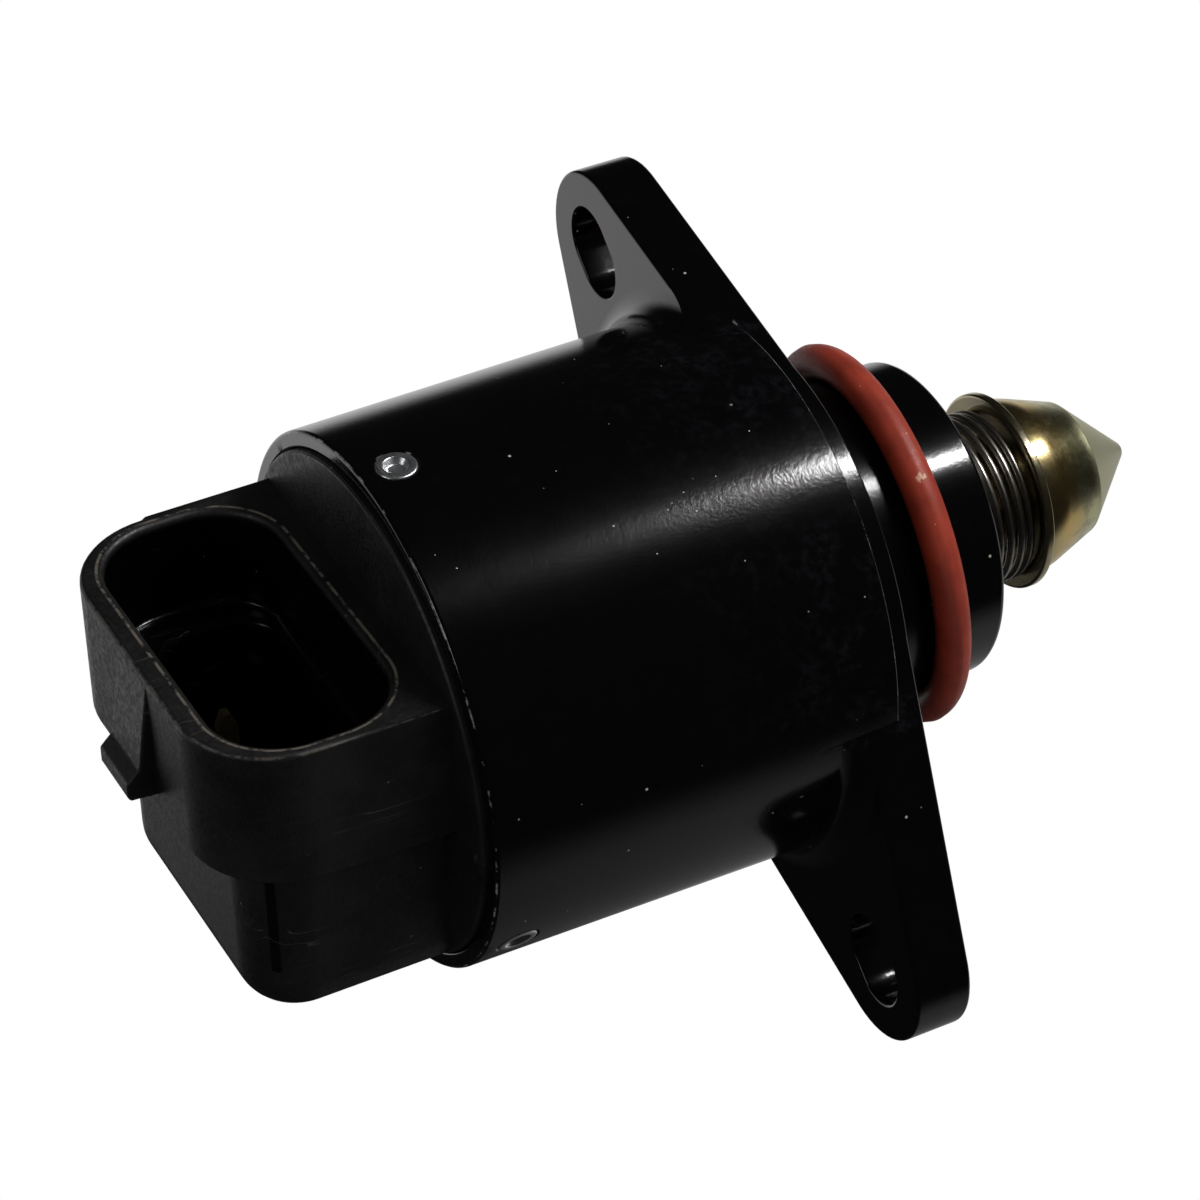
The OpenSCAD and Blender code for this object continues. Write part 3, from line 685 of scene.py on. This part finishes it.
connectorShape = {
    "angle": 48.5, "face": -30.2, "capRadius": 16.65, "cupRadius": 16.2, "end": -23.4, "plate": -21.6,
    "groove": 15.3, "grooveRear": -25.6, "grooveFront": -24.0, "cup": 14.2, "floor": -24.4, "floorRadius": 13.9,
    "screwRoom": 2.8, "pinHole": 1.4,
    "shroudBack": -45.26, "shroudHalf": 13.2, "shroudCorner": 6.2, "mouth": 9.2, "shroudLow": -0.7,
    "lowerBack": -42.9, "lowerHalf": 11.2, "lowerLow": -13.8, "lowerCorner": 3.95, "lowerRoll": 2.9,
    "latchWide": 4.5, "latchHigh": 1.85, "latchHook": 1.7, "latchEdge": 0.2,
    "socketBack": -43.56, "socketFront": -32.0, "socketHalf": 12.15, "socketCorner": 4.75, "ledge": 2.0,
    "blades": -36.7, "wellHalf": 9.7, "wellWide": 3.95, "wellCorner": 3.55, "wellFloor": -9.3,
    "lowEdge": 0.4, "floorEdge": 0.5, "outerEdge": 0.35, "innerEdge": 0.45, "ledgeEdge": 0.6,
}


# a block with its upright corners rounded, at the back or at both ends
def roundedBlock(low, high, corner, both=False):
    form = block(low, high)
    ends = [low[0], high[0]] if both else [low[0]]
    return roundEdges(form, corner, lambda spots: abs(spots[0].z - spots[1].z) > 0.1
                      and min(abs(spots[0].x - end) for end in ends) < 0.01, 14)


# a test for edges that lie at one height, behind a place along the axis
def flatAt(level, before=99.0):
    return lambda ends: all(abs(p.z - level) < 0.01 for p in ends) and all(p.x < before for p in ends)


def latchForm(s):
    form = bmesh.new()
    root, back = s["shroudBack"] + 0.5, s["shroudBack"] - s["latchHigh"]
    outline = [(root, s["mouth"] - 0.4), (s["shroudBack"], s["mouth"] - 0.4),
               (s["shroudBack"] - s["latchHigh"] * 0.5, s["latchHook"] + 0.9), (back, s["latchHook"]),
               (back, s["shroudLow"] + 1.2), (root, s["shroudLow"] + 1.0)]
    face = form.faces.new([form.verts.new((x * mm, -s["latchWide"] / 2 * mm, z * mm)) for x, z in outline])
    push(form, [face], (0, s["latchWide"], 0))
    return roundEdges(form, s["latchEdge"], lambda ends: all(p.x < s["shroudBack"] + 0.01 for p in ends), 3)


def plugForm(s):
    return turned([
        (s["face"], 0, 0), (s["face"], s["capRadius"], 0.35),
        (s["grooveRear"], s["capRadius"], 0), (s["grooveRear"], s["groove"], 0.1),
        (s["grooveFront"], s["groove"], 0.1), (s["grooveFront"], s["capRadius"], 0),
        (s["end"], s["capRadius"], 0.1), (s["end"], s["cupRadius"], 0),
        (s["plate"], s["cupRadius"], 0.1), (s["plate"], s["cup"], 0.1),
        (s["floor"], s["floorRadius"], 0.1), (s["floor"], s["screwRoom"], 0.1),
        (s["grooveRear"], s["screwRoom"], 0.1), (s["grooveRear"], 0, 0),
    ], steps=192, segments=3)


# made with its mouth upwards, then turned about the valve axis
def connectorForm(s):
    shroud = roundedBlock((s["shroudBack"], -s["shroudHalf"], s["shroudLow"]),
                          (s["face"] + 0.5, s["shroudHalf"], s["mouth"]), s["shroudCorner"])
    roundEdges(shroud, s["lowEdge"], flatAt(s["shroudLow"], s["face"]), 4)
    lower = roundedBlock((s["lowerBack"], -s["lowerHalf"], s["lowerLow"]),
                         (s["face"] + 0.5, s["lowerHalf"], s["shroudLow"] + 1), s["lowerCorner"])
    roundEdges(lower, s["lowerRoll"], lambda ends: all(abs(p.z - s["lowerLow"]) < 0.01 for p in ends)
               and min(p.x for p in ends) < s["face"], 10)
    outer = merged(merged(shroud, lower, "UNION"), latchForm(s), "UNION")
    socket = roundedBlock((s["socketBack"], -s["socketHalf"], s["ledge"]),
                          (s["socketFront"], s["socketHalf"], s["mouth"] + 1), s["socketCorner"], True)
    roundEdges(socket, s["floorEdge"], flatAt(s["ledge"], s["socketFront"] - 0.05), 4)
    well = roundedBlock((s["blades"] - s["wellWide"], -s["wellHalf"], s["wellFloor"]),
                        (s["blades"] + s["wellWide"], s["wellHalf"], s["ledge"] + 0.6), s["wellCorner"], True)
    roundEdges(well, s["floorEdge"], flatAt(s["wellFloor"]), 4)
    outer = merged(outer, merged(socket, well, "UNION"), "DIFFERENCE")
    bmesh.ops.dissolve_limit(outer, angle_limit=0.002, verts=outer.verts, edges=outer.edges)

    def byWall(ends, near):
        corner = s["socketCorner"]
        gaps = [math.hypot(max(abs(p.y) - s["socketHalf"] + corner, 0),
                           max(s["socketBack"] + corner - p.x, p.x - s["socketFront"] + corner, 0)) - corner
                for p in ends]
        return flatAt(s["mouth"], s["face"] + 0.3)(ends) and all((gap < 0.3) == near for gap in gaps)

    roundEdges(outer, s["outerEdge"], lambda ends: byWall(ends, False), 4)
    roundEdges(outer, s["innerEdge"], lambda ends: byWall(ends, True), 5)
    roundEdges(outer, s["ledgeEdge"], flatAt(s["ledge"]), 6)
    bmesh.ops.rotate(outer, verts=outer.verts, cent=(0, 0, 0),
                     matrix=Matrix.Rotation(math.radians(s["angle"]), 3, "X"))
    outer = merged(outer, plugForm(s), "UNION")
    hole = s["pinHole"]
    holes = stakeForms(housingShape, [(14.0, 0, 0), (14.0, hole, 0), (18.5, hole, 0), (18.5, 0, 0)], 48)
    return merged(outer, holes, "DIFFERENCE")


made["blackMoulding"] = makeBlackMoulding(blackMoulding, connectorShape)
connector = addPiece("connectorShell", connectorForm(connectorShape), "blackMoulding", "valve_body",
                     "connector_cap", 28)
print("connector made,", len(connector.data.polygons), "faces")


# stake pins: staked over, each with a punched dimple

pinShape = {"radius": 1.35, "top": 17.85, "foot": 14.2, "dimple": 0.85, "deep": 0.4}


def pinForm(p):
    return stakeForms(housingShape, [
        (p["foot"], 0, 0), (p["foot"], p["radius"], 0.1), (p["top"], p["radius"], 0.14),
        (p["top"], p["dimple"], 0.12), (p["top"] - p["deep"], p["dimple"] - 0.3, 0.15),
        (p["top"] - p["deep"], 0, 0),
    ], 48)


addPiece("stakePins", pinForm(pinShape), "brightZinc", "valve_body", "stake_pins")


# flange seal: round cord lying a little askew, with its mould line

sealShape = {"place": 6.72, "cord": 1.17, "tilt": 5.4, "line": 0.035, "inner": 10.82, "squeeze": 0.993}


def sealForm(s):
    radius = (s["inner"] + s["cord"]) / math.cos(math.radians(s["tilt"]))
    form = bmesh.new()
    place = Matrix.Translation((0, 0, radius * mm)) @ Matrix.Rotation(math.pi / 2, 4, "X")
    bmesh.ops.create_circle(form, cap_ends=False, segments=36, radius=s["cord"] * mm, matrix=place)
    for vert in form.verts:
        if abs(vert.co.x) < 0.00001:
            vert.co.z += math.copysign(s["line"] * mm, vert.co.z - radius * mm)
    bmesh.ops.spin(form, geom=form.verts[:] + form.edges[:], angle=2 * math.pi, steps=192,
                   axis=(1, 0, 0), cent=(0, 0, 0), use_merge=True)
    bmesh.ops.remove_doubles(form, verts=form.verts, dist=0.000001)
    bmesh.ops.recalc_face_normals(form, faces=form.faces)
    bmesh.ops.scale(form, verts=form.verts, vec=(1, 1, s["squeeze"]))
    bmesh.ops.rotate(form, verts=form.verts, cent=(0, 0, 0),
                     matrix=Matrix.Rotation(math.radians(-s["tilt"]), 3, "Z"))
    bmesh.ops.translate(form, verts=form.verts, vec=(s["place"] * mm, 0, 0))
    return form


addPiece("flangeSeal", sealForm(sealShape), "redSilicone", "valve_body", "flange_seal", 60)


# pintle: collar, two cones and a rounded nose on a shaft with two flats

pintleShape = {
    "collar": 16.4, "collarRadius": 6.8, "collarThick": 0.65, "hub": 4.0, "cone": 6.13, "coneSmall": 4.66,
    "coneEnd": 22.1, "coneBend": 4.6, "noseAngle": 43.5, "noseRound": 0.8,
    "shaft": 3.0, "flats": 5.0, "shaftEnd": -1.0, "bore": 2.02, "boreEnd": 6.0,
}


def pintleForm(p):
    front = p["collar"] + p["collarThick"]
    slope, radius = math.radians(p["noseAngle"]), p["noseRound"]
    centre = p["coneEnd"] + p["coneSmall"] / math.tan(slope) - radius / math.sin(slope)
    angles = [math.radians(90 - p["noseAngle"]) * k / 8 for k in range(8, -1, -1)]
    nose = [(centre + radius * math.cos(angle), radius * math.sin(angle), 0) for angle in angles]
    head = turned([
        (p["collar"] - 1, 0, 0), (p["collar"] - 1, p["hub"], 0.1), (p["collar"], p["hub"], 0.05),
        (p["collar"], p["collarRadius"], 0.2), (front, p["collarRadius"], 0.12),
        (front, p["cone"] - 0.07, 0.05), (front + 1.0, p["cone"] - 0.02, p["coneBend"]),
        (p["coneEnd"], p["coneSmall"], 0.25),
    ] + nose, steps=128, segments=6)
    root = p["collar"] - 0.8     # the shaft ends inside the hub
    shaft = turned([(p["shaftEnd"], p["bore"], 0), (p["shaftEnd"], p["shaft"], 0.15), (root, p["shaft"], 0),
                    (root, 0, 0), (p["boreEnd"], 0, 0), (p["boreEnd"], p["bore"], 0)], steps=64, segments=3)
    for side in (-1, 1):
        cut = bmesh.ops.bisect_plane(shaft, geom=shaft.verts[:] + shaft.edges[:] + shaft.faces[:],
                                     dist=0.0000001, plane_co=(0, side * p["flats"] / 2 * mm, 0),
                                     plane_no=(0, side, 0), clear_outer=True)
        edges = [item for item in cut["geom_cut"] if isinstance(item, bmesh.types.BMEdge)]
        bmesh.ops.holes_fill(shaft, edges=edges)
    return joined(head, shaft)


addPiece("pintleHead", pintleForm(pintleShape), "yellowZinc", "pintle", "pintle")


# spring: round wire, closed at both ends, open between

springShape = {"start": 5.4, "end": 16.4, "wire": 0.275, "coil": 5.65, "turns": 13, "steps": 40,
               "gap": 0.02, "touch": 0.03}


def springForm(s):
    form = bmesh.new()
    rise = s["end"] - s["start"] - 2 * s["wire"] - 2 * s["gap"]
    closed = 2 * s["wire"] + s["touch"]
    opened = (rise - 2 * closed) / (s["turns"] - 2)
    place = Matrix.Translation(((s["start"] + s["wire"] + s["gap"]) * mm, s["coil"] * mm, 0))
    first = bmesh.ops.create_circle(form, cap_ends=True, segments=12, radius=s["wire"] * mm, matrix=place)
    ends = first["verts"]
    edges = list({edge for vert in ends for edge in vert.link_edges})
    last = ends + edges
    for count, lift in ((1, closed), (s["turns"] - 2, opened), (1, closed)):
        steps = count * s["steps"]
        spun = bmesh.ops.spin(form, geom=last, angle=2 * math.pi * count, steps=steps, axis=(1, 0, 0),
                              cent=(0, 0, 0), dvec=(lift / s["steps"] * mm, 0, 0), use_merge=False)
        last = [item for item in spun["geom_last"] if not isinstance(item, bmesh.types.BMFace)]
    bmesh.ops.holes_fill(form, edges=[edge for edge in form.edges if edge.is_boundary], sides=0)
    bmesh.ops.remove_doubles(form, verts=form.verts, dist=0.000001)
    bmesh.ops.recalc_face_normals(form, faces=form.faces)
    return form


spring = addPiece("returnSpring", springForm(springShape), "springSteel", None,
                  "pintle_spring", 70)
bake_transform(spring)
print("pins, seal, pintle and spring made")

for name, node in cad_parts.items():     # every CAD node gets its finish, the hidden ones too
    node.data.materials.clear()
    node.data.materials.append(made[finishOf[name]])


# floor, world and lights

room = {
    "floor": -250, "floorSize": 6, "floorTone": 0.62, "floorRough": 0.9,
    "diffuse": 0.5,                          # level of the world on dull surfaces
    "behind": 0.8, "before": 0.008,          # levels that glossy surfaces mirror, behind and before the valve
    "right": 0.75,                           # less than 1: dimmer towards the pintle
    "paintedFarGlow": 0.45, "paintedNearGlow": 0.015,       # painted reflection glow of the floor for glossy rays, on the far side and near the camera
}


def rayKinds(wire):
    return [wire.make("LightPath", None, None, kind) for kind in ("Is Camera Ray", "Is Glossy Ray")]


def makeFloor(look):
    form = bmesh.new()
    bmesh.ops.create_grid(form, x_segments=1, y_segments=1, size=look["floorSize"])
    bmesh.ops.translate(form, verts=form.verts, vec=(0, 0, look["floor"] * mm))
    mesh = bpy.data.meshes.new("floor")
    form.to_mesh(mesh)
    form.free()
    floor = bpy.data.objects.new("floor", mesh)
    scene.collection.objects.link(floor)
    material, shader, place = startMaterial("paleFloor")
    finishMaterial(shader, place, {"Base Color": grey(look["floorTone"]), "Roughness": look["floorRough"]})
    seen, mirrored = rayKinds(place)
    x, y = place.part(0), place.part(1)
    patch = y.rise(-0.04, 0.08) * (x - 0.35 * y).rise(-0.1, 0.25)     # painted glow for glossy rays, brighter behind the pintle
    # painted reflection: for glossy rays the floor glows, brighter behind the pintle and dim near the camera
    paintedGlow = seen.between(patch * look["paintedFarGlow"] + look["paintedNearGlow"], 1.0)
    white = place.make("Emission", None, {"Color": grey(1.0), "Strength": paintedGlow})
    plain = Wire(place.tree, shader.outputs[0])
    shown = place.make("MixShader", None, {0: seen.most(mirrored), 1: plain, 2: white})
    place.tree.links.new(shown.socket, place.tree.nodes["Material Output"].inputs["Surface"])
    mesh.materials.append(material)


def makeWorld(look):
    world = bpy.data.worlds.new("world")
    scene.world = world
    world.use_nodes = True
    tree = world.node_tree
    toward = Wire(tree, tree.nodes.new("ShaderNodeTexCoord").outputs["Generated"])
    seen, mirrored = rayKinds(toward)
    right, away, high = toward.part(0), toward.part(1), toward.part(2)
    pale = away.rise(0.2, 0.55) * high.fall(0.5, 0.72) * high.rise(0.1, 0.19).most(right.rise(0.2, 0.5)) \
        * right.rise(0.2, 0.8, 1.0, look["right"])
    level = pale * (look["behind"] - look["before"]) + look["before"]
    strength = seen.between(mirrored.between(look["diffuse"], level), 1.0)
    back = tree.nodes["Background"]
    back.inputs["Color"].default_value = grey(1.0)
    tree.links.new(strength.socket, back.inputs["Strength"])


# area lamps, placed by the direction from the valve: degrees from +X towards +Y, degrees up, mm, watts

lamps = {
    "key": {"around": -50.3, "up": 21.8, "far": 500, "wide": 236, "high": 60, "power": 2.1},
    "left": {"around": -155, "up": 12, "far": 500, "wide": 120, "high": 260, "power": 0.25},
}


def makeLamp(name, look):
    data = bpy.data.lights.new(name, "AREA")
    data.shape = "RECTANGLE"
    data.size = look["wide"] * mm
    data.size_y = look["high"] * mm
    data.energy = look["power"]
    lamp = bpy.data.objects.new(name, data)
    around, up = math.radians(look["around"]), math.radians(look["up"])
    away = Vector((math.cos(up) * math.cos(around), math.cos(up) * math.sin(around), math.sin(up)))
    lamp.location = away * look["far"] * mm
    lamp.rotation_euler = away.to_track_quat("Z", "Y").to_euler()
    scene.collection.objects.link(lamp)


makeFloor(room)
makeWorld(room)
for name, look in lamps.items():
    makeLamp(name, look)
scene.view_settings.view_transform = "Standard"
print("room lit")
